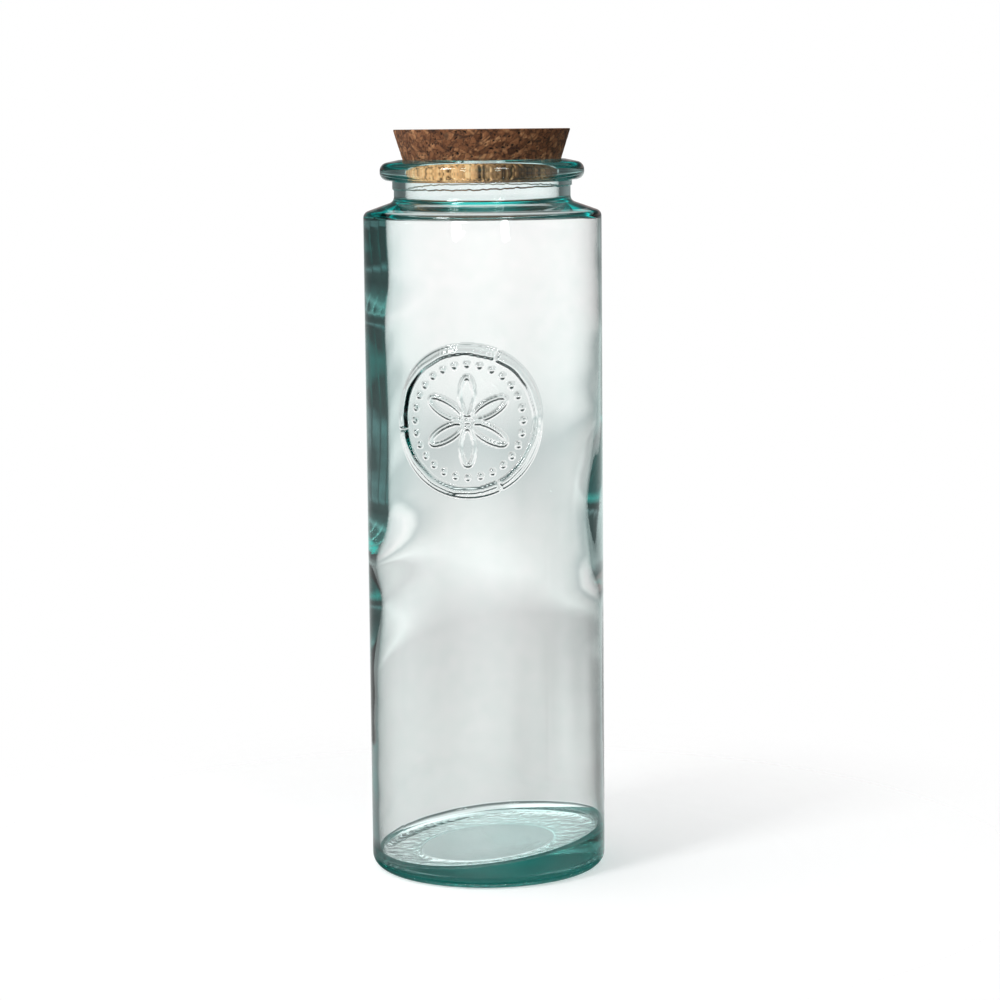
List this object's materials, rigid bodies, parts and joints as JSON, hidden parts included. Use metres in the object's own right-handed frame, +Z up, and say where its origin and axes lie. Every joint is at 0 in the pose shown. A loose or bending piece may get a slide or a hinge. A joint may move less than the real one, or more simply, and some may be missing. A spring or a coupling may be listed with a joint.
{
  "type": "storage jar",
  "caption": "Tall round glass storage jar with a rounded lip, a raised round seal on its wall and a tapered cork stopper that lifts out of the mouth.",
  "frame": {"origin": "centre of the foot ring, in the plane that the jar stands on", "axes": "+Z up along the jar's axis, the round seal faces -Y, and the floor inside is higher towards +X and a little towards +Y"},
  "size_m": [0.095, 0.0966, 0.298],
  "materials": {
    "sea_green_glass": "polished",
    "pressed_cork": "matte"
  },
  "bodies": {
    "jar": {"glass_jar": "sea_green_glass"},
    "stopper": {"cork_stopper": "pressed_cork"}
  },
  "joints": [
    {"name": "stopper_lift", "type": "slide", "parent": "jar", "child": "stopper", "axis": [0, 0, 1], "range_m": [0, 0.06]}
  ]
}
